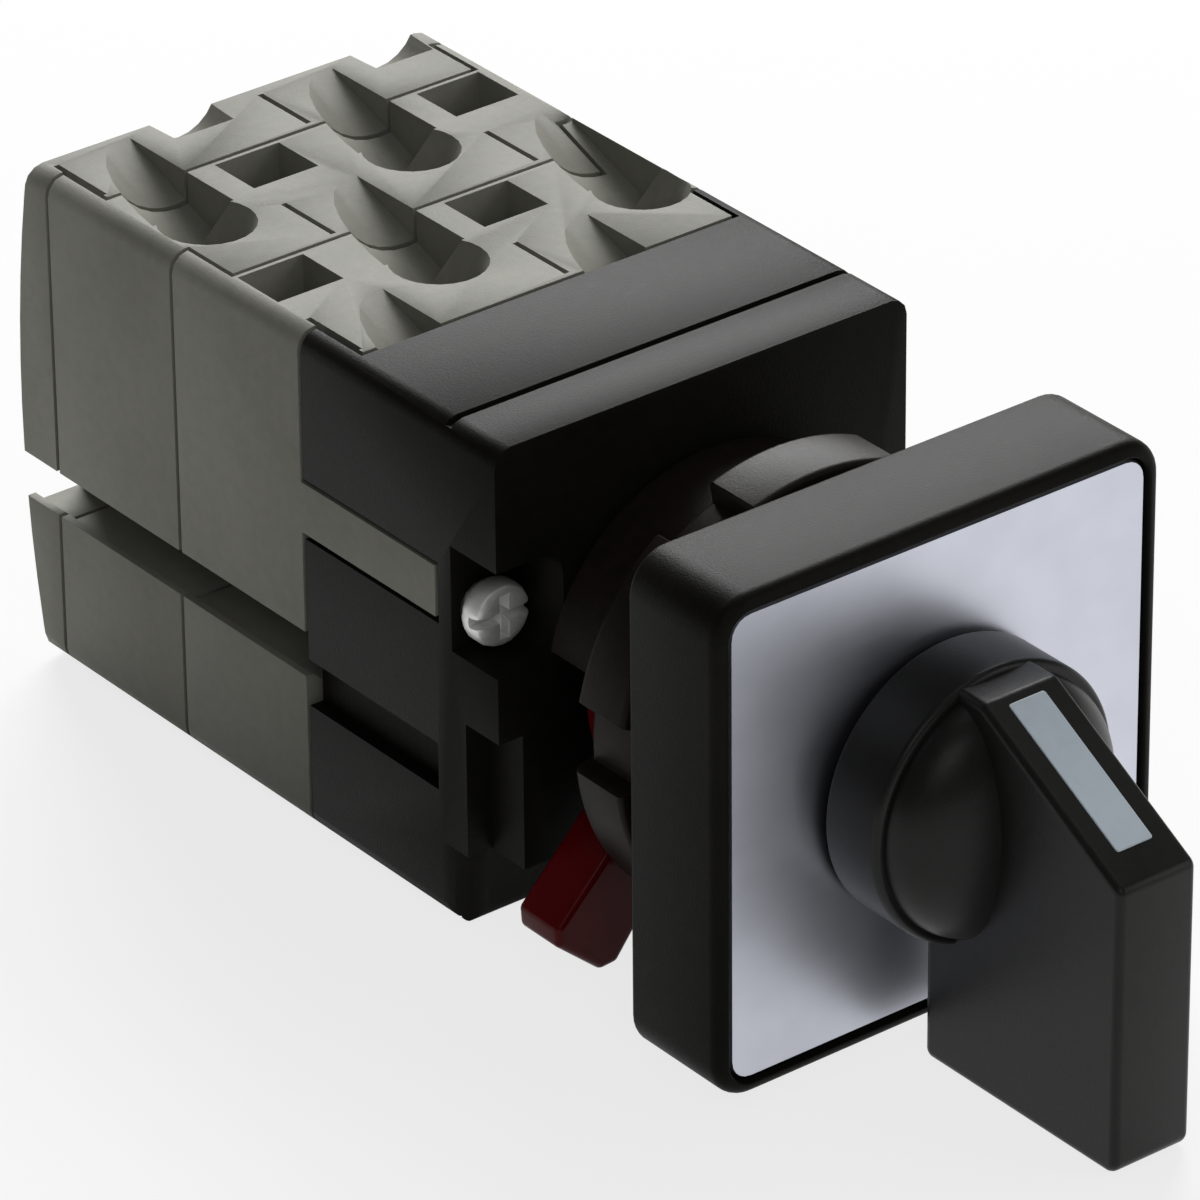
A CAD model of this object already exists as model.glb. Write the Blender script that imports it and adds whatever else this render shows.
# %% [markdown]
# # Dressing a cam switch
# A cam switch is a stack: two grey contact stages with a cover, a black latch block, and a front
# plate whose neck goes through a panel. The packed model gives every solid in its place. All of
# them could be modelled again, but most solids have the right shape and only need softer edges
# and a moulded finish. So just the pieces in front of the latch block are made anew, as smooth
# surfaces. Sizes are in millimetres until a mesh is stored, because a switch of 80 mm is easier
# to think about in that unit.

# %% Load the frame
import math

import bmesh
import bpy
import numpy as np
from mathutils import Matrix, Vector


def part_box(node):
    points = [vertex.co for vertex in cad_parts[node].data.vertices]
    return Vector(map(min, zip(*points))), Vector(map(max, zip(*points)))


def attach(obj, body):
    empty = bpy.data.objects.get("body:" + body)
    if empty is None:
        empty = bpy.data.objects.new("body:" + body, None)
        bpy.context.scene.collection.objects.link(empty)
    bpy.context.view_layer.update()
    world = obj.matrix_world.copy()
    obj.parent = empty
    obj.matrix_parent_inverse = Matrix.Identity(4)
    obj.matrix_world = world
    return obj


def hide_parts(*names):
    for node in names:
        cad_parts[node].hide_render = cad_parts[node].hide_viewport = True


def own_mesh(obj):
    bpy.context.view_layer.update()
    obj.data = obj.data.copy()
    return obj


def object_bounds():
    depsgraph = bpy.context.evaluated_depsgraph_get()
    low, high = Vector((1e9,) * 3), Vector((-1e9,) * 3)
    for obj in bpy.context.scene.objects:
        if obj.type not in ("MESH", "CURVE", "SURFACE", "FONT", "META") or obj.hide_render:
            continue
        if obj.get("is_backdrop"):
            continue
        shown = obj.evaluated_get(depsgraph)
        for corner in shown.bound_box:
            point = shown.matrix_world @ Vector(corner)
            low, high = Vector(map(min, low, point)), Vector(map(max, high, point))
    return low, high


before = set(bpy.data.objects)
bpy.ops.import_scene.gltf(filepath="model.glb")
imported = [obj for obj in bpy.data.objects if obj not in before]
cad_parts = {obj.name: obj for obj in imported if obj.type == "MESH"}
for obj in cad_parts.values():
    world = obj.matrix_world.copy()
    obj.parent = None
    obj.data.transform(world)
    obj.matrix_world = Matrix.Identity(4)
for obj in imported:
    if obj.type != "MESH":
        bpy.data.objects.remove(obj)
CAD_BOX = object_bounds()
MM = 0.001


def box_mm(name):
    """Lowest and highest corner of a solid's box at rest, in millimetres."""
    return [np.array(corner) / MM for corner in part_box(name)]


# %% [markdown]
# ## The camera
# A product photo is taken from some distance with a long lens, so that it shows little
# perspective. A camera can be placed by hand and turned with a tracking constraint. Here it is
# worked out from two angles, because a place in numbers can be fitted to the photo's edges. The
# camera stands to the left of the shaft and above it, and looks at a point near the middle of the
# latch block. A small roll turns it about its own view.

# %% Camera
CAMERA_TURN = math.radians(37.9)
CAMERA_RISE = math.radians(29.53)
CAMERA_ROLL = math.radians(-0.586)
CAMERA_DISTANCE = 487.9
CAMERA_SHIFT = (-1.784, -0.987)      # of the aim, along the picture's right and up
AIM_Y = 18.13
LENS, FILM_WIDTH = 270.0, 36.0


def camera_matrix():
    """Matrix of the camera.

    back = (-sin(turn) cos(rise), -cos(turn) cos(rise), sin(rise)) points from the aim to the
    camera, right is level and square to it, and up is back x right.
    """
    level = math.cos(CAMERA_RISE)
    turn_sin, turn_cos = math.sin(CAMERA_TURN), math.cos(CAMERA_TURN)
    back = Vector((-turn_sin * level, -turn_cos * level, math.sin(CAMERA_RISE)))
    right = Vector((turn_cos, -turn_sin, 0.0))
    up = back.cross(right)
    aim = Vector((0.0, AIM_Y, 0.0)) + right * CAMERA_SHIFT[0] + up * CAMERA_SHIFT[1]
    rolled = right * math.cos(CAMERA_ROLL) + up * math.sin(CAMERA_ROLL)
    upright = up * math.cos(CAMERA_ROLL) - right * math.sin(CAMERA_ROLL)
    matrix = Matrix((rolled, upright, back)).transposed().to_4x4()
    matrix.translation = (aim + back * CAMERA_DISTANCE) * MM
    return matrix


camera = bpy.data.objects.new("camera", bpy.data.cameras.new("camera"))
camera.data.lens = LENS
camera.data.sensor_width = FILM_WIDTH
camera.matrix_world = camera_matrix()
bpy.context.scene.collection.objects.link(camera)
bpy.context.scene.camera = camera
print("camera at", [round(v, 3) for v in camera.location])

# %% [markdown]
# ## From arrays to a mesh
# Every new piece is one or more closed skins. They could be built point by point, but a skin is
# a grid, so index arithmetic on whole arrays gives all its quads at once. Each row of the grid is
# a closed ring of points, and neighbouring rows are joined. Where the rows themselves close into
# a ring, as on a washer, the last row is joined to the first. Otherwise the two end rows get a
# flat cap.

# %% Mesh helpers
SHARP = math.radians(32.0)           # edges that turn by more stay sharp
SAME_POINT = 1e-6                    # metres between two points that are merged


def ring_quads(rows, columns, closed):
    """Quads of a grid whose columns wrap round.

    The point of row i and column j has the index i * columns + j. Each quad joins it to the next
    column and to the next row, and in a closed grid the first row follows the last.
    """
    i = np.arange(rows if closed else rows - 1)[:, None]
    j = np.arange(columns)[None, :]
    row, column = i * columns, np.broadcast_to(j, (len(i), columns))
    next_row, next_column = (i + 1) % rows * columns, (j + 1) % columns
    corners = [row + column, row + next_column, next_row + next_column, next_row + column]
    return np.stack(corners, axis=-1).reshape(-1, 4)


def skin(loops, closed=False):
    """Points and faces of one skin from an array of shape (rows, columns, 3) in millimetres."""
    rows, columns = loops.shape[:2]
    faces = ring_quads(rows, columns, closed).tolist()
    if not closed:
        faces.append(list(range(columns)))
        faces.append(list(range((rows - 1) * columns, rows * columns)))
    return loops.reshape(-1, 3), faces


def make_piece(name, skins, body, node, finish):
    """Piece from skins, merged, with its faces pointing out; it stands for a node on a body."""
    points, faces, count = [], [], 0
    for skin_points, skin_faces in skins:
        points.append(skin_points)
        faces += [[count + corner for corner in face] for face in skin_faces]
        count += len(skin_points)
    mesh = bpy.data.meshes.new(name)
    mesh.from_pydata((np.concatenate(points) * MM).tolist(), [], faces)
    shape = bmesh.new()
    shape.from_mesh(mesh)
    bmesh.ops.remove_doubles(shape, verts=shape.verts, dist=SAME_POINT)
    bmesh.ops.dissolve_degenerate(shape, edges=shape.edges, dist=SAME_POINT / 10)
    bmesh.ops.recalc_face_normals(shape, faces=shape.faces)
    shape.to_mesh(mesh)
    shape.free()
    mesh.shade_smooth()
    mesh.set_sharp_from_angle(angle=SHARP)
    mesh.materials.append(finish)
    piece = bpy.data.objects.new(name, mesh)
    bpy.context.scene.collection.objects.link(piece)
    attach(piece, body)
    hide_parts(node)
    print(name, len(mesh.polygons), "faces")
    return piece


print("a closed grid of 3 rows and 4 columns has", len(ring_quads(3, 4, True)), "quads")

# %% [markdown]
# ## Outlines with round corners
# Moulded plastic has no knife edges. A Bevel modifier could round them, but it slips on thin
# walls and on corners where many edges meet. So each outline is a polygon whose corners are arcs
# from the start, and it keeps the outward direction at each of its points for later.

# %% Rounded outline
def rounded_outline(corners, radius, steps=6):
    """Polygon with arcs for corners; gives points and outward directions.

    With unit vectors a and b towards the two neighbours and h half the angle between them, the
    arc's centre is the corner plus (a + b) / |a + b| times radius / sin(h). The arc turns by
    180 degrees minus 2 h, from the tangent point on a to the one on b.
    """
    corners = np.asarray(corners, float)
    radius = np.broadcast_to(np.asarray(radius, float), len(corners))[:, None]
    before, after = np.roll(corners, 1, axis=0), np.roll(corners, -1, axis=0)
    a, b = before - corners, after - corners
    a /= np.linalg.norm(a, axis=1, keepdims=True)
    b /= np.linalg.norm(b, axis=1, keepdims=True)
    half = np.arccos(np.clip((a * b).sum(1), -1, 1))[:, None] / 2
    middle = (a + b) / np.linalg.norm(a + b, axis=1, keepdims=True)
    centre = corners + middle * radius / np.sin(half)
    start = a * radius / np.tan(half) + corners - centre
    end = b * radius / np.tan(half) + corners - centre
    sweep = (math.pi - 2 * half)[:, :, None]
    share = np.linspace(0, 1, steps + 1)[None, :, None]
    arm = np.sin((1 - share) * sweep) * start[:, None] + np.sin(share * sweep) * end[:, None]
    arm /= np.sin(sweep)
    points = (centre[:, None] + arm).reshape(-1, 2)
    area = (corners[:, 0] * after[:, 1] - corners[:, 1] * after[:, 0]).sum()
    bend = a[:, 1] * b[:, 0] - a[:, 0] * b[:, 1]
    outward = np.where(bend * area > 0, 1.0, -1.0)[:, None, None]
    directions = (arm / radius[:, :, None] * outward).reshape(-1, 2)
    return points, directions


square = rounded_outline([(0, 0), (1, 0), (1, 1), (0, 1)], 0.2)
print("a rounded square has", len(square[0]), "points")

# %% [markdown]
# ## Slabs
# The grip, the lever's tab and the pointer are flat pieces of one thickness with soft edges. An
# extruded outline with a bevel would do, but carrying the outline along an axis and pulling it in
# at both ends gives the same shape with even quads, and the radius is exact.

# %% Slab
CAP_INSET = 1.2                      # of the radius, where the flat end face begins


def soft_ends(low, high, radius, steps=3):
    """Pairs of (inset, height) along a wall whose two ends are quarter circles of that radius.

    The first and the last pair lie a little farther in at the same height, so that the end's flat
    face begins there and is shaded flat.
    """
    turn = np.linspace(0, math.pi / 2, steps + 1)
    inset = np.concatenate([[CAP_INSET * radius], radius * (1 - np.sin(turn))])
    rise = np.concatenate([[0.0], radius * (1 - np.cos(turn))])
    lower = np.column_stack([inset, low + rise])
    upper = np.column_stack([inset, high - rise])[::-1]
    return np.concatenate([lower, upper])


def slab(outline, levels, axis):
    """Loops of an outline: point minus direction times inset, at each level's height on an axis."""
    points, directions = outline
    flat = points[None] - directions[None] * levels[:, 0][:, None, None]
    height = np.broadcast_to(levels[:, 1][:, None, None], flat.shape[:2] + (1,))
    if axis == "X":
        return np.concatenate([height, flat], axis=-1)
    if axis == "Y":
        return np.concatenate([flat[..., :1], height, flat[..., 1:]], axis=-1)
    return np.concatenate([flat, height], axis=-1)


print("a soft wall has", len(soft_ends(0.0, 1.0, 0.1)), "levels")

# %% [markdown]
# ## Lathes
# Rings, the collar and the knob are round about the shaft. The Screw modifier turns a profile
# too, but a formula keeps the place in the mesh and leaves no modifier to apply: each point of
# the rounded profile simply runs round the shaft.

# %% Lathe and washer
def lathe(profile, segments=128):
    """Profile of (radius, y) turned about the shaft.

    At each angle a point goes to x = radius sin(angle), z = radius cos(angle), and keeps its y.
    """
    angle = np.linspace(0, 2 * math.pi, segments, endpoint=False)[None, :]
    radius, y = profile[:, 0][:, None], profile[:, 1][:, None]
    x, z = radius * np.sin(angle), radius * np.cos(angle)
    return np.stack([x, np.broadcast_to(y, x.shape), z], axis=-1)


def soft_ring(inner, outer, front, rear, edge, segments=128):
    """Washer about the shaft whose four edges are arcs."""
    corners = [(inner, front), (outer, front), (outer, rear), (inner, rear)]
    return skin(lathe(rounded_outline(corners, edge, 3)[0], segments), closed=True)


print("a washer has", len(soft_ring(5.0, 8.0, 0.0, 2.0, 0.3)[1]), "quads")

# %% [markdown]
# ## Shader sums that read like sums
# A finish is a small calculation on the place of a point: grain, drift of colour, scratches. Its
# nodes could be drawn in the editor, but a long chain of Math nodes is hard to read. A class wraps
# one socket instead, so that a sum such as 0.4 + 0.1 * grain adds its Math nodes by itself. Its
# one method for other nodes takes the node's type, its settings and its sockets.

# %% A socket that takes part in sums
class Wire:
    """One output socket; + - and * add a Math node, also with a number on the left."""

    def __init__(self, socket):
        self.socket = socket

    def node(self, kind, settings=None, sockets=None, out=0):
        """Add a node of a type, set its settings, then its sockets to values or wires."""
        tree = self.socket.id_data
        made = tree.nodes.new(kind)
        for key, value in (settings or {}).items():
            setattr(made, key, value)
        for key, value in (sockets or {}).items():
            if isinstance(value, Wire):
                tree.links.new(value.socket, made.inputs[key])
            else:
                made.inputs[key].default_value = value
        return Wire(made.outputs[out])

    def sum(self, operation, first, second):
        """One Math node."""
        return self.node("ShaderNodeMath", {"operation": operation}, {0: first, 1: second})

    def __add__(self, other):
        return self.sum("ADD", self, other)

    def __sub__(self, other):
        return self.sum("SUBTRACT", self, other)

    def __rsub__(self, other):
        return self.sum("SUBTRACT", other, self)

    def __mul__(self, other):
        return self.sum("MULTIPLY", self, other)

    __radd__ = __add__
    __rmul__ = __mul__

    def step(self, low, high):
        """0 below low, 1 above high, and a smooth rise between them."""
        settings = {"interpolation_type": "SMOOTHSTEP"}
        return self.node("ShaderNodeMapRange", settings, {0: self, 1: low, 2: high})

    def noise(self, scale, detail=2.0, roughness=0.5):
        """Noise from 0 to 1 with about scale blobs in a millimetre."""
        sockets = {"Vector": self, "Scale": scale, "Detail": detail, "Roughness": roughness}
        return self.node("ShaderNodeTexNoise", None, sockets)

    def stretched(self, x, y, z):
        """The place, scaled on each axis."""
        settings = {"operation": "MULTIPLY"}
        return self.node("ShaderNodeVectorMath", settings, {0: self, 1: (x, y, z)})

    def mix(self, first, second):
        """Colour between two colours, by this value."""
        settings = {"data_type": "RGBA"}
        return self.node("ShaderNodeMix", settings, {0: self, 6: first, 7: second}, 2)


print("a Wire can", ", ".join(name for name in vars(Wire) if not name.startswith("__")))

# %% [markdown]
# ## One start for every material
# Each finish is a Principled shader. What is the same all over goes straight onto its sockets,
# and only what varies is joined to it. The place comes from Object coordinates, because they stay
# with the piece when the model is exported or seen from another side.

# %% Material helpers
def new_finish(name, **constants):
    """Material with a Principled shader; gives it, its shader and the place in millimetres."""
    material = bpy.data.materials.new(name)
    material.use_nodes = True
    tree = material.node_tree
    shader = tree.nodes["Principled BSDF"]
    for key, value in constants.items():
        shader.inputs[key.replace("_", " ")].default_value = value
    coordinates = tree.nodes.new("ShaderNodeTexCoord")
    place = Wire(coordinates.outputs["Object"]).stretched(1 / MM, 1 / MM, 1 / MM)
    return material, shader, place


def plug(shader, **wires):
    """Join wires to the shader's sockets."""
    for key, wire in wires.items():
        wire.socket.id_data.links.new(wire.socket, shader.inputs[key.replace("_", " ")])


def relief(height, depth):
    """Bump from a height of 0 to 1 that stands for depth millimetres."""
    sockets = {"Height": height, "Distance": depth * MM, "Strength": 1.0}
    return height.node("ShaderNodeBump", None, sockets)


def shade(rgb, amount):
    """Colour scaled by an amount, as four numbers."""
    return tuple(channel * amount for channel in rgb) + (1.0,)


print("half of a light grey:", shade((0.8, 0.8, 0.8), 0.5))

# %% [markdown]
# ## Moulded plastics
# The housings are glass-filled plastic from a spark-eroded mould: an even fine grain, a slow
# drift of tone where the melt flowed, and short pale fibres just under the surface. A photo of
# plastic could be laid on, but noise has no seams and keeps its scale. The black parts have the
# same grain, so the recipe is one function and only its numbers change.

# %% Plastic recipe
COAT_ROUGH = 0.12
FIBRE_TONE = 1.9                     # how much paler a fibre is than the plastic
PIT_ROUGH, SCUFF_GLOSS = 0.10, 0.07  # what pits add to the roughness, and scuffs take off it


def plastic(name, rgb, rough, grain=0.012, drift=0.12, fibres=0.0, gloss=0.5, coat=0.0):
    """Moulded plastic: tone drifts by noise, fibres are thin stretched noise, grain is relief."""
    constants = {"Specular_IOR_Level": gloss, "Coat_Weight": coat, "Coat_Roughness": COAT_ROUGH}
    material, shader, place = new_finish(name, **constants)
    flow = place.stretched(0.6, 1.0, 0.6).noise(0.16, 3.0)
    cloud = place.noise(1.3, 4.0, 0.6)
    tone = (0.6 * flow + 0.4 * cloud).step(0.3, 0.7)
    colour = tone.mix(shade(rgb, 1 - drift), shade(rgb, 1 + drift))
    if fibres:
        threads = place.stretched(1.0, 0.25, 1.0).noise(9.0, 2.0, 0.7)
        mask = threads.step(0.66, 0.78) * fibres
        colour = mask.mix(colour, shade(rgb, FIBRE_TONE))
    pits = place.noise(7.0, 3.0, 0.65)
    scuffs = place.stretched(0.7, 2.6, 1.4).noise(0.9, 5.0, 0.7).step(0.58, 0.74)
    plug(
        shader,
        Base_Color=colour,
        Roughness=rough + PIT_ROUGH * (pits - 0.5) - SCUFF_GLOSS * scuffs,
        Normal=relief(pits, grain),
    )
    return material


GREY = plastic(
    "moulded_grey", (0.222, 0.220, 0.190), 0.56, grain=0.02, drift=0.08, fibres=0.2, gloss=0.14
)
BLACK = plastic("moulded_black", (0.0075, 0.0070, 0.0058), 0.44, grain=0.02, drift=0.25, gloss=0.05)
HANDLE_BLACK = plastic(
    "handle_black", (0.0110, 0.0110, 0.0100), 0.34, grain=0.010, drift=0.2, gloss=0.22
)
COLLAR_BLACK = plastic(
    "collar_black", (0.013, 0.0100, 0.0080), 0.42, grain=0.015, drift=0.3, gloss=0.08
)
NATURAL = plastic("natural_inner", (0.55, 0.53, 0.47), 0.45, grain=0.01, drift=0.05)
POINTER = plastic("pointer_pale", (0.52, 0.60, 0.66), 0.42, grain=0.006, drift=0.05)
RED = plastic(
    "lever_red", (0.12, 0.0030, 0.0045), 0.26, grain=0.004, drift=0.2, gloss=0.06, coat=0.08
)
print("plastics:", len(bpy.data.materials))

# %% [markdown]
# ## Metals
# Zinc-plated screws are bright with faint turning marks. Brass and silvered copper are stamped
# from strip and keep the strip's drawn lines. An anisotropic shader could give such lines, but
# stretched noise in the relief shows them at their real size, and the export keeps it.

# %% Metal recipe
def drawn_metal(name, rgb, rough, lines, metallic=1.0):
    """Metal with lines: noise squeezed on two axes runs along the third; stains vary its tone."""
    material, shader, place = new_finish(name, Metallic=metallic)
    stains = place.noise(0.8, 4.0, 0.6).step(0.35, 0.75)
    threads = place.stretched(*lines).noise(6.0, 3.0, 0.6)
    plug(
        shader,
        Base_Color=stains.mix(shade(rgb, 1.05), shade(rgb, 0.78)),
        Roughness=rough + 0.16 * stains + 0.1 * (threads - 0.5),
        Normal=relief(threads, 0.004),
    )
    return material


STEEL = drawn_metal("zinc_plated_steel", (0.62, 0.62, 0.60), 0.24, (0.6, 2.0, 2.0))
ZINC = drawn_metal("dull_zinc", (0.86, 0.86, 0.84), 0.42, (0.6, 2.0, 2.0), metallic=0.55)
SPRING_STEEL = drawn_metal("spring_wire", (0.5, 0.5, 0.5), 0.28, (1.0, 1.0, 0.4))
BRASS = drawn_metal("stamped_brass", (0.72, 0.52, 0.24), 0.30, (0.3, 2.0, 1.0))
COPPER = drawn_metal("silvered_copper", (0.80, 0.66, 0.56), 0.26, (0.3, 2.0, 1.0))
print("plastics and metals:", len(bpy.data.materials))

# %% [markdown]
# ## Rubber and foil
# The gasket is dull rubber with a soft bloom, so its tone is lifted in clouds. The legend is
# satin foil that is brushed along one direction. It mirrors the knob and the grip softly, and a
# fully metallic shader with a middle roughness does that without a picture on the plate.

# %% Rubber and foil recipes
def rubber(name, rgb):
    """Dull rubber: bloom lightens it in soft clouds, and fine pores roughen it."""
    material, shader, place = new_finish(name, Specular_IOR_Level=0.3)
    bloom = place.noise(0.9, 4.0, 0.6).step(0.4, 0.8)
    pores = place.noise(8.0, 3.0, 0.6)
    plug(
        shader,
        Base_Color=bloom.mix(shade(rgb, 0.8), shade(rgb, 1.6)),
        Roughness=0.78 + 0.12 * (pores - 0.5),
        Normal=relief(pores, 0.02),
    )
    return material


def foil(name, rgb):
    """Satin foil, brushed along X: long thin noise gives the lines of tone, gloss and relief."""
    material, shader, place = new_finish(name, Metallic=1.0)
    brushed = place.stretched(0.05, 1.0, 3.2).noise(4.0, 4.0, 0.65)
    clouds = place.noise(0.25, 2.0).step(0.3, 0.7)
    plug(
        shader,
        Base_Color=(0.5 * brushed + 0.5 * clouds).mix(shade(rgb, 0.94), shade(rgb, 1.06)),
        Roughness=0.34 + 0.08 * brushed,
        Normal=relief(brushed, 0.002),
    )
    return material


RUBBER = rubber("gasket_rubber", (0.050, 0.036, 0.030))
FOIL = foil("legend_foil", (0.66, 0.68, 0.76))
print("finishes:", len(bpy.data.materials))

# %% [markdown]
# ## Smooth walls, sharp edges
# A moulded bore is smooth round its wall and crisp at its rim. A solid of the frame can't be
# edited, so this shading can't be stored in its mesh. A small node group at the end of the
# modifiers does it instead: every face is smooth, and only edges that turn a lot stay sharp.

# %% Shading group
def smooth_group():
    """Node group: every face is smooth, and every edge that turns by more than SHARP is sharp."""
    group = bpy.data.node_groups.new("smooth_walls", "GeometryNodeTree")
    for way in ("INPUT", "OUTPUT"):
        group.interface.new_socket("Mesh", in_out=way, socket_type="NodeSocketGeometry")
    first, last = group.nodes.new("NodeGroupInput"), group.nodes.new("NodeGroupOutput")
    faces = group.nodes.new("GeometryNodeSetShadeSmooth")
    edges = group.nodes.new("GeometryNodeSetShadeSmooth")
    edges.domain = "EDGE"
    edges.inputs["Shade Smooth"].default_value = False
    turn = group.nodes.new("GeometryNodeInputMeshEdgeAngle")
    compare = group.nodes.new("FunctionNodeCompare")
    compare.operation = "GREATER_THAN"
    compare.inputs["B"].default_value = SHARP
    join = group.links.new
    join(first.outputs[0], faces.inputs["Geometry"])
    join(faces.outputs[0], edges.inputs["Geometry"])
    join(turn.outputs[0], compare.inputs["A"])
    join(compare.outputs[0], edges.inputs["Selection"])
    join(edges.outputs[0], last.inputs[0])
    return group


SMOOTH = smooth_group()
print("nodes in the shading group:", len(SMOOTH.nodes))

# %% [markdown]
# ## The solids that stay
# The housings, the screws and all inner pieces already have the right shape, as loose triangles
# with sharp edges. Modifiers turn them into moulded parts without touching the mesh: Weld joins
# the triangles, Decimate melts flat areas into single faces, Bevel rounds the edges, and the
# node group shades them. The wide housings get the largest radius, as from a real mould.

# %% Soften the housings
WELD_REACH = 0.002                   # millimetres between corners that are joined
FLAT_TURN = math.radians(0.6)        # faces that turn by less are melted into one
ROUND_TURN = math.radians(34.0)      # edges that turn by more are rounded
HOUSING_EDGE = 0.16                  # radius of a housing's edges


def soften_node(name, finish, width):
    """Give a CAD node its finish, and round its edges by width millimetres."""
    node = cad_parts[name]
    node.data.materials.clear()
    node.data.materials.append(finish)
    weld = node.modifiers.new("weld", "WELD")
    weld.merge_threshold = WELD_REACH * MM
    if width:
        melt = node.modifiers.new("melt flats", "DECIMATE")
        melt.decimate_type = "DISSOLVE"
        melt.angle_limit = FLAT_TURN
        bevel = node.modifiers.new("round edges", "BEVEL")
        bevel.width = width * MM
        bevel.segments = 2
        bevel.limit_method = "ANGLE"
        bevel.angle_limit = ROUND_TURN
    shading = node.modifiers.new("smooth walls", "NODES")
    shading.node_group = SMOOTH


for name in ("stage_housing_front", "stage_housing_rear", "rear_cover"):
    soften_node(name, GREY, HOUSING_EDGE)
soften_node("latch_housing", BLACK, HOUSING_EDGE)
print("housings softened to", HOUSING_EDGE, "mm")

# %% [markdown]
# Inside the housings turn the shaft, the cams and the star wheel, and the contacts slide. Only a
# little of this shows through the wire entries, so the pieces keep their solids too. A table
# gives each family its finish and its edge, because the families hold many equal pieces.

# %% Soften the inner pieces
INNER = {
    "cam_": (NATURAL, 0.1),
    "detent_star": (NATURAL, 0.1),
    "detent_slider": (NATURAL, 0.15),
    "contact_carrier": (NATURAL, 0.1),
    "contact_bridge": (COPPER, 0.0),
    "contact_spring": (SPRING_STEEL, 0.0),
    "terminal_screw": (STEEL, 0.0),
    "terminal_front": (BRASS, 0.05),
    "terminal_rear": (BRASS, 0.05),
    "tie_screw": (ZINC, 0.08),
    "shaft": (STEEL, 0.1),
}
for start, (finish, edge) in INNER.items():
    family = [name for name in sorted(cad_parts) if name.startswith(start)]
    for name in family:
        soften_node(name, finish, edge)
    print(start, len(family))

# %% [markdown]
# ## Detent springs
# A spring presses each detent slider onto the star wheel and gets shorter when the slider moves.
# A rigid solid would stick into the slider there. So each spring is made anew as a tube along a
# helix, and flattens towards its fixed end as the slider's joint moves.

# %% Detent springs
SPRING_R, WIRE_R, SPRING_TURNS = 1.3, 0.18, 4
SPRING_FOOT, SPRING_HEAD, SPRING_Y = 9.7, 13.6, 19.4
TURN_STEPS, WIRE_SIDES = 24, 8


def coil_loops(low, high):
    """Tube along a helix.

    The centre runs round at SPRING_R and goes evenly from low to high. Each loop is a circle of
    WIRE_R, spanned by the outward direction and by the one square to it and to the helix.
    """
    share = np.linspace(0, 1, SPRING_TURNS * TURN_STEPS + 1)
    angle = 2 * math.pi * SPRING_TURNS * share
    level = np.zeros_like(angle)
    outward = np.column_stack([np.cos(angle), np.sin(angle), level])
    around = np.column_stack([-np.sin(angle), np.cos(angle), level])
    pitch = (high - low) / (2 * math.pi * SPRING_TURNS)
    along = around * SPRING_R + np.array([0.0, 0.0, pitch])
    third = np.cross(along / np.linalg.norm(along, axis=1, keepdims=True), outward)
    axis_point = np.column_stack([level, level + SPRING_Y, low + (high - low) * share])
    centre = outward * SPRING_R + axis_point
    ring = np.linspace(0, 2 * math.pi, WIRE_SIDES, endpoint=False)[None, :, None]
    arm = np.cos(ring) * outward[:, None] + np.sin(ring) * third[:, None]
    return centre[:, None] + WIRE_R * arm


for side, up in (("top", 1), ("bottom", -1)):
    coil = [skin(coil_loops(up * (SPRING_FOOT + WIRE_R), up * (SPRING_HEAD - WIRE_R)))]
    old = f"detent_spring_{side}"
    spring = make_piece(f"detent_coil_{side}", coil, "housing", old, SPRING_STEEL)
    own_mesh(spring)

# %% [markdown]
# ## Squares and circles on the same rays
# The front plate is square in front and round behind. Such a change of shape is hard to model
# with tidy quads by hand. So every loop uses the same directions from the shaft, and only the
# reach along each direction changes, from a square's to a circle's.

# %% Loops about the shaft
PLATE_LOW, PLATE_HIGH = box_mm("bezel")
PLATE_HALF = PLATE_HIGH[0]
PLATE_CORNER = 2.4


def loop_angles(corner_steps=9, side_steps=15):
    """Directions round the shaft, close together at the plate's corners."""
    turn = math.atan2(PLATE_HALF - PLATE_CORNER, PLATE_HALF)
    side = np.linspace(-turn, turn, side_steps, endpoint=False)
    corner = np.linspace(turn, math.pi / 2 - turn, corner_steps, endpoint=False)
    quarter = np.concatenate([side, corner])
    return np.concatenate([quarter + math.pi / 2 * i for i in range(4)])


ANGLES = loop_angles()


def square_reach(angle, half, corner):
    """Distance from the shaft to a rounded square along an angle.

    On a side it is half / cos of the angle from the side's middle. At a corner it solves the
    circle about (half - corner, half - corner) for the ray: b + sqrt(b * b - c), with b the
    centre's reach along the ray and c the centre's distance squared minus the radius squared.
    """
    fold = np.abs((angle + math.pi / 4) % (math.pi / 2) - math.pi / 4)
    centre = half - corner
    b = centre * (np.cos(fold) + np.sin(fold))
    c = 2 * centre**2 - corner**2
    curved = b + np.sqrt(np.maximum(b * b - c, 0.0))
    return np.where(np.tan(fold) * half <= centre, half / np.cos(fold), curved)


def ring_at(reach, y):
    """Loop of points at a reach from the shaft for each angle, at one place along it."""
    reach = np.broadcast_to(reach, ANGLES.shape)
    x, z = reach * np.sin(ANGLES), reach * np.cos(ANGLES)
    return np.stack([x, np.full_like(ANGLES, y), z], axis=-1)


def square_loop(inset, y):
    """Loop of the plate's outline, pulled in; its corner keeps a radius of at least 0.05 mm."""
    return ring_at(square_reach(ANGLES, PLATE_HALF - inset, max(PLATE_CORNER - inset, 0.05)), y)


print("points in a loop:", len(ANGLES))

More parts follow.
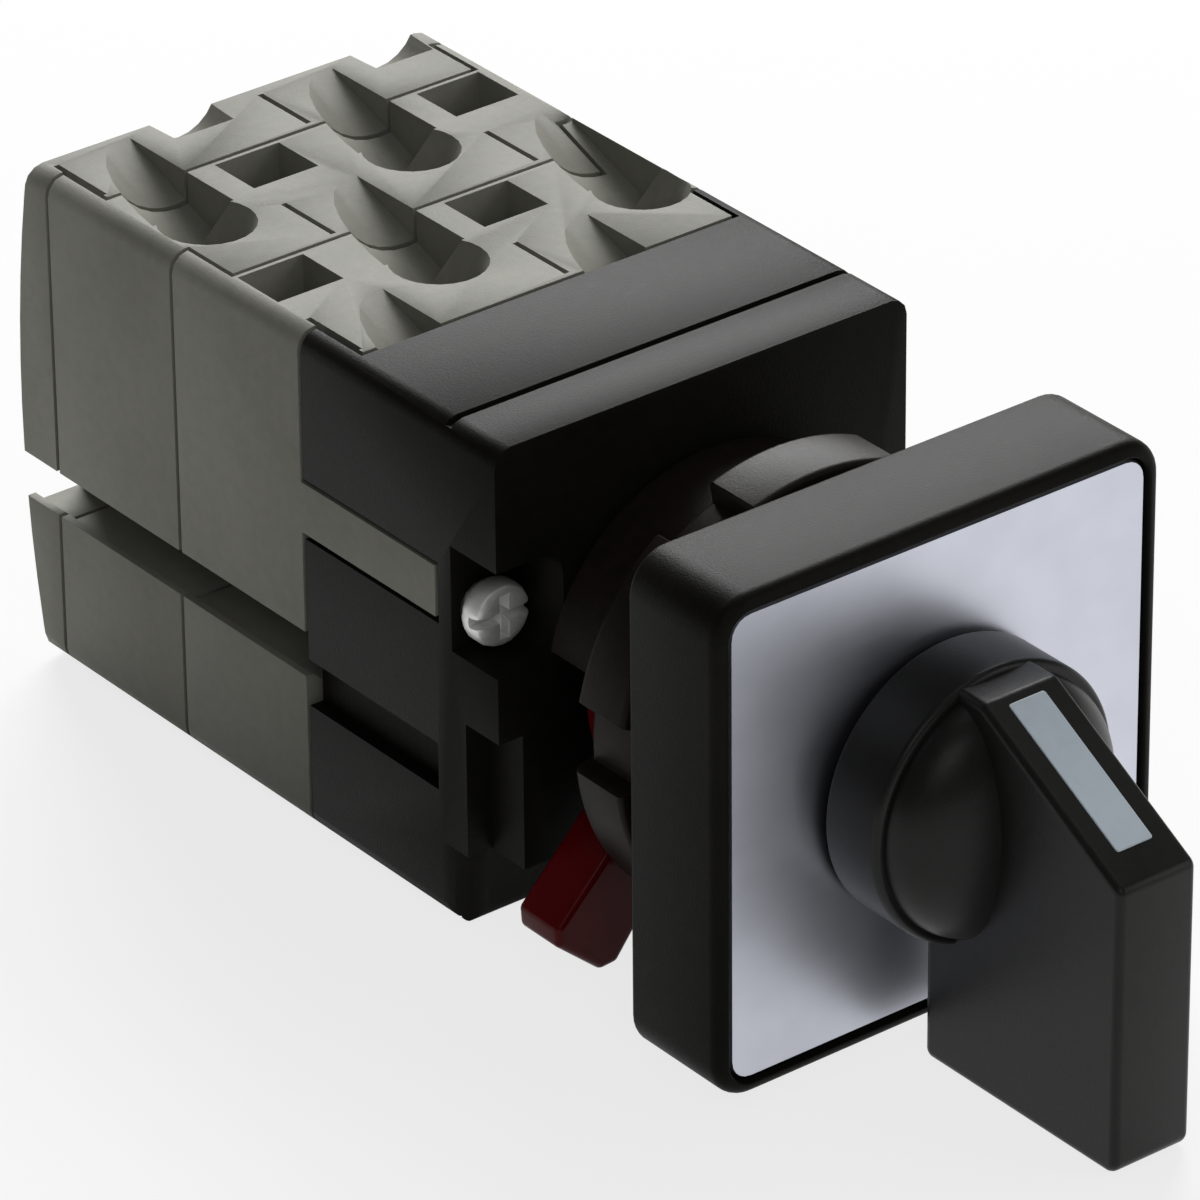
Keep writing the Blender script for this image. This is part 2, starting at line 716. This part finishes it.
# %% [markdown]
# ## The front plate and its neck
# The front plate is one moulding: a square tray for the legend, and a round neck behind it that
# goes through the panel. It could be two pieces, but then a seam would show at the neck's foot.
# So its skin is one ring of loops. It starts at the rear end of the bore, runs forward inside it,
# spreads over the tray's floor, climbs the rim, comes back along the outside and ends on the
# neck.

# %% Front plate
PLATE_FRONT, PLATE_REAR = PLATE_LOW[1], -0.5
RIM, TRAY_Y = 0.9, PLATE_FRONT + 1.4
LIP_R, EDGE_R, BACK_R, NECK_EDGE = 0.22, 0.75, 0.3, 0.4
NECK_R, NECK_END = 11.0, 6.2
SPIGOT_R, SPIGOT_END = 8.6, PLATE_HIGH[1]
BORE_R = 5.3
SEAT_R, SEAT_Y = 13.55, -1.7         # the recess for the gasket


def quarter(radius, steps):
    """Pairs (along, across) of a quarter circle that starts level and ends upright."""
    turn = np.linspace(0, math.pi / 2, steps + 1)
    return np.column_stack([radius * np.sin(turn), radius * (1 - np.cos(turn))])


def plate_loops():
    """All loops of the front plate, from the bore's rear end round to the spigot's."""
    loops = [ring_at(BORE_R, SPIGOT_END), ring_at(BORE_R, TRAY_Y), square_loop(RIM, TRAY_Y)]
    loops += [square_loop(RIM - a, PLATE_FRONT + LIP_R - b) for b, a in quarter(LIP_R, 4)]
    loops += [square_loop(EDGE_R - a, PLATE_FRONT + b) for a, b in quarter(EDGE_R, 6)]
    loops += [square_loop(b, PLATE_REAR - BACK_R + a) for a, b in quarter(BACK_R, 3)]
    loops += [ring_at(SEAT_R, PLATE_REAR), ring_at(SEAT_R, SEAT_Y), ring_at(NECK_R, SEAT_Y)]
    loops += [ring_at(NECK_R - b, NECK_END - NECK_EDGE + a) for a, b in quarter(NECK_EDGE, 3)]
    loops += [ring_at(SPIGOT_R, NECK_END), ring_at(SPIGOT_R, SPIGOT_END)]
    return np.array(loops)


plate = [skin(plate_loops(), closed=True)]
make_piece("front_plate", plate, "housing", "bezel", BLACK)

# %% [markdown]
# ## The legend
# The legend is a thin blank plate of satin foil on a carrier, with a round hole for the handle.
# A plane with a cut hole would have no thickness. The same directions from the shaft join its
# rounded square to its round hole instead, and a narrow sloped border closes the edge.

# %% Legend
LEGEND_LOW, LEGEND_HIGH = box_mm("legend_plate")
LEGEND_INSET = PLATE_HALF - LEGEND_HIGH[0]
HOLE_R, HOLE_EDGE = 7.0, 0.05
BORDER = ((0.09, 0.0), (0.04, 0.12), (0.0, 0.17))    # inset from the outline, drop from the face


def legend_loops():
    """Loops from the hole's rear edge forward, over the face, down the border and back."""
    front, rear = LEGEND_LOW[1], LEGEND_HIGH[1]
    loops = [ring_at(HOLE_R, rear), ring_at(HOLE_R, front + HOLE_EDGE)]
    loops.append(ring_at(HOLE_R + HOLE_EDGE, front))
    loops += [square_loop(LEGEND_INSET + inset, front + drop) for inset, drop in BORDER]
    loops.append(square_loop(LEGEND_INSET, rear))
    return np.array(loops)


face = [skin(legend_loops(), closed=True)]
make_piece("legend_face", face, "housing", "legend_plate", FOIL)

# %% [markdown]
# ## The gasket
# The gasket is the rubber ring that seals the front plate on the panel. A torus would be too
# round for it, because it is cut from a flat sheet. So it is a washer with soft edges.

# %% Gasket
GASKET_LOW, GASKET_HIGH = box_mm("gasket")
GASKET_PLAY, GASKET_EDGE = 0.15, 0.3
gasket_in = NECK_R + GASKET_PLAY
ring = soft_ring(gasket_in, GASKET_HIGH[0], GASKET_LOW[1], GASKET_HIGH[1], GASKET_EDGE)
make_piece("gasket_ring", [ring], "housing", "gasket", RUBBER)

# %% [markdown]
# ## The ring nut
# The nut screws onto the neck and clamps the panel. Six notches take a wrench. They could be cut
# with a Boolean, which leaves ragged edges. Here the nut's radius is a function of the angle that
# drops by a smooth step at each notch, so the nut stays one ring of loops and its rim stays
# rounded everywhere.

# %% Ring nut
NUT_LOW, NUT_HIGH = box_mm("ring_nut")
NUT_R, NUT_IN, NOTCH_FLOOR = 13.5, 11.3, 12.3
NUT_EDGE = 0.4
NUT_TURN = math.radians(33.0)        # of the first notch, clockwise from the top
NOTCHES = 6
NOTCH_HALF, WALL_BAND = 1.9, 0.3     # half a notch's width, and the width of its soft wall
SPANS = ((-7.0, 7.0, 9), (7.3, 9.7, 9), (10.0, 50.0, 14), (50.3, 52.7, 9))   # degrees, and points


def nut_angles():
    """Angles of one notch's floor, wall, rim and next wall, six times; close at the walls."""
    sector = np.radians(np.concatenate([np.linspace(*span) for span in SPANS]))
    return np.concatenate([sector + 2 * math.pi / NOTCHES * i for i in range(NOTCHES)])


def nut_reach(angle, inset):
    """Outer radius: the notch floor, plus a smooth step from 0 to 1 over each notch's wall."""
    half_turn = math.pi / NOTCHES
    fold = np.abs((angle + half_turn) % (2 * half_turn) - half_turn)
    share = np.clip((NUT_R * np.sin(fold) - NOTCH_HALF) / WALL_BAND + 0.5, 0, 1)
    step = share * share * (3 - 2 * share)
    return NOTCH_FLOOR + (NUT_R - NOTCH_FLOOR) * step - inset


def nut_loops():
    """Loops from the bore's front over the face, back along the notched rim and in at the rear."""
    angle = nut_angles()
    rim = soft_ends(NUT_LOW[1], NUT_HIGH[1], NUT_EDGE, 4)
    bore = np.full_like(angle, NUT_IN)
    reach = np.array([bore] + [nut_reach(angle, inset) for inset in rim[:, 0]] + [bore])
    y = np.concatenate([[NUT_LOW[1]], rim[:, 1], [NUT_HIGH[1]]])[:, None]
    place = angle + NUT_TURN
    x, z = reach * np.sin(place), reach * np.cos(place)
    return np.stack([x, np.broadcast_to(y, x.shape), z], axis=-1)


nut = [skin(nut_loops(), closed=True)]
make_piece("notched_nut", nut, "housing", "ring_nut", COLLAR_BLACK)

# %% [markdown]
# ## The collar
# The collar belongs to the switch body and takes the front plate's neck. Its front is a whole
# ring. The skirt behind that ring has a window for the lever. Cutting the window would leave
# sharp, thin edges, so the skirt's section is swept only part of the way round.

# %% Collar
COLLAR_LOW, COLLAR_HIGH = box_mm("mounting_collar")
COLLAR_IN, COLLAR_R = 10.1, 11.1
WINDOW_Y, OVERLAP = 7.0, 0.2         # where the window begins, and how far the skirt runs past
NOSE_RADII, SKIRT_RADII = (0.1, 0.3, 0.03, 0.03), (0.03, 0.03, 0.2, 0.1)
WINDOW_HALF = 3.0
LEVER_ANGLE, LEVER_TRAVEL = 221.0, 45.0
WINDOW_SPREAD = math.degrees(math.asin(WINDOW_HALF / COLLAR_IN))


def part_ring(profile, start, stop, segments=90):
    """Closed profile of (radius, y), swept between two angles in degrees clockwise from the top."""
    angle = np.radians(np.linspace(start, stop, segments + 1))[:, None]
    radius, y = profile[:, 0][None, :], profile[:, 1][None, :]
    x, z = radius * np.sin(angle), radius * np.cos(angle)
    return np.stack([x, np.broadcast_to(y, x.shape), z], axis=-1)


def wall_profile(front, rear, radii, steps):
    """Section of the collar's wall between two places along the shaft."""
    corners = [(COLLAR_IN, front), (COLLAR_R, front), (COLLAR_R, rear), (COLLAR_IN, rear)]
    return rounded_outline(corners, radii, steps)[0]


def collar_skins():
    """The whole front ring, and the skirt behind it that leaves the lever's window open."""
    nose = wall_profile(COLLAR_LOW[1], WINDOW_Y, NOSE_RADII, 5)
    skirt = wall_profile(WINDOW_Y - OVERLAP, COLLAR_HIGH[1], SKIRT_RADII, 3)
    start = LEVER_ANGLE + LEVER_TRAVEL + WINDOW_SPREAD
    stop = LEVER_ANGLE - WINDOW_SPREAD + 360.0
    return [skin(lathe(nose), closed=True), skin(part_ring(skirt, start, stop))]


walls = collar_skins()
make_piece("collar_ring", walls, "housing", "mounting_collar", COLLAR_BLACK)

# %% [markdown]
# ## The locking lever
# The red lever locks the body on the neck. It is a flat ring with a tab that stands out of the
# collar's window. Drawn in place, the tab's slanted corners would need awkward numbers. So it is
# laid out on its own axes, outward and sideways, and then turned to the lever's angle.

# %% Locking lever
LEVER_LOW, LEVER_HIGH = box_mm("locking_lever")
RING_IN, RING_R, RING_FRONT, RING_REAR, RING_EDGE = 8.9, 9.8, 7.6, 9.8, 0.2
TAB_ROOT, TAB_SHOULDER, TAB_TIP = 9.2, 17.9, 18.7
ROOT_HALF, SHOULDER_HALF, TIP_HALF = 2.2, 2.7, 1.9
TAB_RADII, TAB_EDGE = (0.3, 0.3, 0.5, 0.5, 0.5, 0.5), 0.4


def turned_outline(outline, degrees):
    """Outline turned clockwise about the shaft; directions turn with it."""
    turn = math.radians(degrees)
    matrix = np.array([[math.cos(turn), -math.sin(turn)], [math.sin(turn), math.cos(turn)]])
    return tuple(part @ matrix for part in outline)


def lever_skins():
    """Ring inside the collar, and the tab that stands out of its window."""
    right = [(ROOT_HALF, TAB_ROOT), (SHOULDER_HALF, TAB_SHOULDER), (TIP_HALF, TAB_TIP)]
    left = [(-TIP_HALF, TAB_TIP), (-SHOULDER_HALF, TAB_SHOULDER)]
    corners = [(-ROOT_HALF, TAB_ROOT)] + right + left
    outline = turned_outline(rounded_outline(corners, TAB_RADII, 5), LEVER_ANGLE)
    tab = slab(outline, soft_ends(LEVER_LOW[1], LEVER_HIGH[1], TAB_EDGE, 5), "Y")
    return [soft_ring(RING_IN, RING_R, RING_FRONT, RING_REAR, RING_EDGE), skin(tab)]


make_piece("lever", lever_skins(), "locking_lever", "locking_lever", RED)

# %% [markdown]
# ## The handle
# The handle is one moulding: a short round knob with a low dome, and an upright grip across it.
# A sculpted mesh would blend the two, but the real one has a clear line between them. So the
# knob is a lathe, whose dome is a quarter of an ellipse, and the grip is a slab across the shaft
# with a five-sided outline. The pointer lies in its sloping side.

# %% Knob
HUB_R, HUB_END = 5.0, 7.5
KNOB_R, KNOB_REAR, KNOB_FRONT = 8.1, -8.1, -12.2
DOME_R, DOME_LEN = 7.5, 3.8
KNOB_RADII = (0.1, 0.2, 0.1, 0.2, 0.4, 0.12, 0.1)
ARC_STEPS, DOME_STEPS, KNOB_SEGMENTS = 6, 28, 160


def knob_loops():
    """Hub, knob and dome: rounded corners, then a quarter of an ellipse that ends on the shaft."""
    corners = [(0, HUB_END), (HUB_R, HUB_END), (HUB_R, KNOB_REAR), (KNOB_R, KNOB_REAR)]
    corners += [(KNOB_R, KNOB_FRONT), (DOME_R, KNOB_FRONT), (0, KNOB_FRONT - DOME_LEN)]
    arcs = rounded_outline(corners, KNOB_RADII, ARC_STEPS)[0].reshape(len(corners), -1, 2)[1:-2]
    turn = np.linspace(0, math.pi / 2, DOME_STEPS)
    dome = np.column_stack([DOME_R * np.cos(turn), KNOB_FRONT - DOME_LEN * np.sin(turn)])
    dome[-1, 0] = 0.0
    profile = np.concatenate([[corners[0]], arcs.reshape(-1, 2), dome])
    return lathe(profile, KNOB_SEGMENTS)


print("rows of the knob:", len(knob_loops()))

# %% [markdown]
# The grip's side view is drawn in the plane of the shaft: along the shaft and upright. Both ends
# of its slope are named, because the pointer needs the same straight line.

# %% Grip and handle
SLOPE_TOP, SLOPE_FRONT = (-14.0, 7.7), (-25.0, 1.6)
SLOPE_RATE = (SLOPE_TOP[1] - SLOPE_FRONT[1]) / (SLOPE_TOP[0] - SLOPE_FRONT[0])
GRIP_REAR, GRIP_FRONT, GRIP_BOTTOM = -9.7, -25.0, -15.6
GRIP_HALF, GRIP_EDGE = 2.6, 0.45
GRIP_RADII = (0.6, 0.8, 0.7, 0.7, 0.6)


def grip_loops():
    """Slab across the shaft: rear, bottom, front, slope, top; a rounded outline, soft sides."""
    corners = [(GRIP_REAR, GRIP_BOTTOM), (GRIP_FRONT, GRIP_BOTTOM), SLOPE_FRONT, SLOPE_TOP]
    corners.append((GRIP_REAR, SLOPE_TOP[1]))
    outline = rounded_outline(corners, GRIP_RADII)
    return slab(outline, soft_ends(-GRIP_HALF, GRIP_HALF, GRIP_EDGE, 5), "X")


grip = [skin(knob_loops()), skin(grip_loops())]
make_piece("handle_grip", grip, "rotor", "handle", HANDLE_BLACK)

# %% [markdown]
# ## The pointer
# The pointer is a pale insert that lies in the sloping face. A painted stripe would look flat, so
# it is a thin slab that stands a hair proud. It is made in its own plane, turned by the slope's
# angle and moved to its place.

# %% Pointer
POINTER_W, POINTER_LEN, POINTER_Y = 2.45, 9.9, -18.8
POINTER_DEEP, POINTER_PROUD = 0.8, 0.05
POINTER_CORNER, POINTER_EDGE = 0.18, 0.07


def slope_height(y):
    """Height of the sloping plane: a straight line from the grip's front crest up to its top."""
    return SLOPE_TOP[1] + SLOPE_RATE * (y - SLOPE_TOP[0])


def pointer_loops():
    """Slab along Z, then turned about X by the slope's angle and moved onto the plane."""
    half_w, half_l = POINTER_W / 2, POINTER_LEN / 2
    corners = [(-half_w, -half_l), (half_w, -half_l), (half_w, half_l), (-half_w, half_l)]
    outline = rounded_outline(corners, POINTER_CORNER, 4)
    loops = slab(outline, soft_ends(-POINTER_DEEP, POINTER_PROUD, POINTER_EDGE, 3), "Z")
    turn = math.atan(SLOPE_RATE)
    cos, sin = math.cos(turn), math.sin(turn)
    matrix = np.array([[1, 0, 0], [0, cos, -sin], [0, sin, cos]])
    return loops @ matrix.T + np.array([0, POINTER_Y, slope_height(POINTER_Y)])


insert = [skin(pointer_loops())]
make_piece("pointer", insert, "rotor", "pointer_insert", POINTER)

# %% [markdown]
# ## The floor
# The switch lies on a plain white sheet. White could come from strong light, but that would burn
# out the pale pieces. So the floor glows white for the camera and in reflections only, and keeps
# a part of its own shading, in which the shadow stays.

# %% Floor
FLOOR_GAP, FLOOR_REACH = 0.0001, 6.0     # metres
FLOOR_TONE, FLOOR_GLOW = 0.86, 0.78


def make_floor():
    """Wide square just under the switch."""
    z, r = CAD_BOX[0][2] - FLOOR_GAP, FLOOR_REACH
    mesh = bpy.data.meshes.new("floor")
    mesh.from_pydata([(-r, -r, z), (r, -r, z), (r, r, z), (-r, r, z)], [], [(0, 1, 2, 3)])
    floor = bpy.data.objects.new("floor", mesh)
    bpy.context.scene.collection.objects.link(floor)
    material = bpy.data.materials.new("floor_white")
    material.use_nodes = True
    tree = material.node_tree
    shader = tree.nodes["Principled BSDF"]
    shader.inputs["Base Color"].default_value = (FLOOR_TONE, FLOOR_TONE, FLOOR_TONE, 1.0)
    shader.inputs["Roughness"].default_value = 0.9
    shader.inputs["Specular IOR Level"].default_value = 0.1
    paths = tree.nodes.new("ShaderNodeLightPath").outputs
    camera_ray, glossy_ray = Wire(paths["Is Camera Ray"]), Wire(paths["Is Glossy Ray"])
    seen = camera_ray + glossy_ray + Wire(paths["Is Transmission Ray"])
    glow = seen.node("ShaderNodeEmission", None, {"Color": (1.0, 1.0, 1.0, 1.0), "Strength": 1.0})
    sockets = {0: seen * FLOOR_GLOW, 1: Wire(shader.outputs[0]), 2: glow}
    blend = seen.node("ShaderNodeMixShader", None, sockets)
    tree.links.new(blend.socket, tree.nodes["Material Output"].inputs["Surface"])
    mesh.materials.append(material)
    floor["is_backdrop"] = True
    return floor


print("floor at", round(make_floor().data.vertices[0].co.z, 4))

# %% [markdown]
# ## Light
# Studio light for black plastic is mostly one large soft lamp behind the object, whose sheen lies
# on the upward faces. Point lamps would leave hard spots there. Three weak soft lamps above, in
# front and beside the camera, and a dim sky, fill the rest.

# %% Lamps and sky
AIM = (0.0, 0.018, 0.0)
SKY = 0.10
LAMPS = (                                # name, place in metres, size, power
    ("lamp_behind", (0.60, 0.78, 0.62), 0.75, 20.0),
    ("lamp_above", (0.15, -0.10, 1.10), 0.6, 0.7),
    ("lamp_front", (0.55, -0.60, 0.35), 0.5, 1.2),
    ("lamp_camera_side", (-0.50, -0.80, 0.72), 0.5, 1.2),
)


def lamp(name, place, size, power):
    """Square area lamp at a place in metres, turned to the switch."""
    light = bpy.data.lights.new(name, "AREA")
    light.size = size
    light.energy = power
    thing = bpy.data.objects.new(name, light)
    thing.location = place
    thing.rotation_euler = (Vector(AIM) - Vector(place)).to_track_quat("-Z", "Y").to_euler()
    bpy.context.scene.collection.objects.link(thing)


for row in LAMPS:
    lamp(*row)
world = bpy.data.worlds.new("studio")
bpy.context.scene.world = world
world.use_nodes = True
sky = world.node_tree.nodes["Background"]
sky.inputs["Color"].default_value = (1.0, 1.0, 1.0, 1.0)
sky.inputs["Strength"].default_value = SKY
bpy.context.scene.view_settings.view_transform = "Standard"
print("lamps:", len(bpy.data.lights))

# %% [markdown]
# ## Sizes
# The last cell writes the box of the packed solids and the box of the dressed model side by
# side, so a piece that grew past the switch shows at once.

# %% Sizes and finish
boxes = {"cad": CAD_BOX, "visual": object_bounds()}
boxes = {key: [list(corner) for corner in box] for key, box in boxes.items()}
print(boxes)
